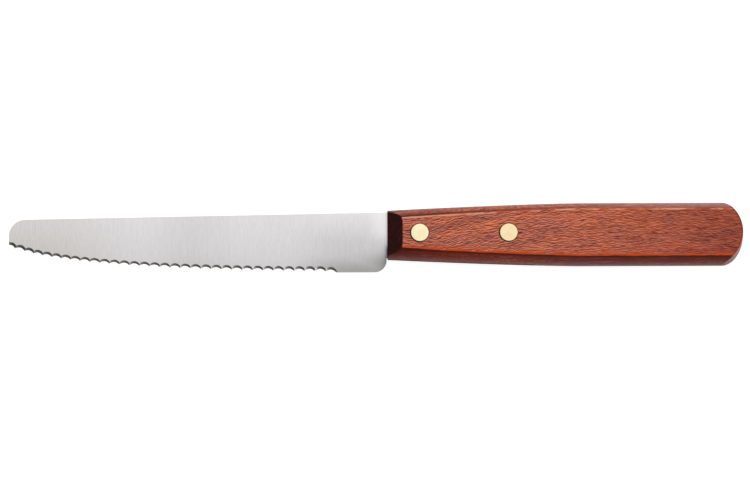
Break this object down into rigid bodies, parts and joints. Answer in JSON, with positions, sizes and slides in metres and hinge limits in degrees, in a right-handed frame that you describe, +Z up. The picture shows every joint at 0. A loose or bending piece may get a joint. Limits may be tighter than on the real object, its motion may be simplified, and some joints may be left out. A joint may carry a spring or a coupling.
{
  "type": "serrated table knife",
  "caption": "Serrated table knife: flat stainless blade with a scalloped edge and a rounded tip, its half tang let into a solid wooden handle and held by flush brass rivets.",
  "frame": {"origin": "middle of the underside of the bounding box, the knife lying on its side", "axes": "+X from the blade's tip to the handle's butt, +Y from the cutting edge to the spine, +Z up through the thickness"},
  "size_m": [0.2134, 0.02, 0.011],
  "materials": {
    "steel": "stainless steel, brushed across the blade, with ground scallops along the edge",
    "wood": "red-brown stained hardwood, sanded and oiled, fine dark grain along the handle",
    "brass": "pale brass rivet heads, turned flat and lightly scratched"
  },
  "bodies": {
    "root": {"blade": "steel", "handle": "wood", "front_rivet_sleeve": "brass", "front_rivet_pin": "brass", "rear_rivet_sleeve": "brass", "rear_rivet_pin": "brass"}
  },
  "joints": []
}
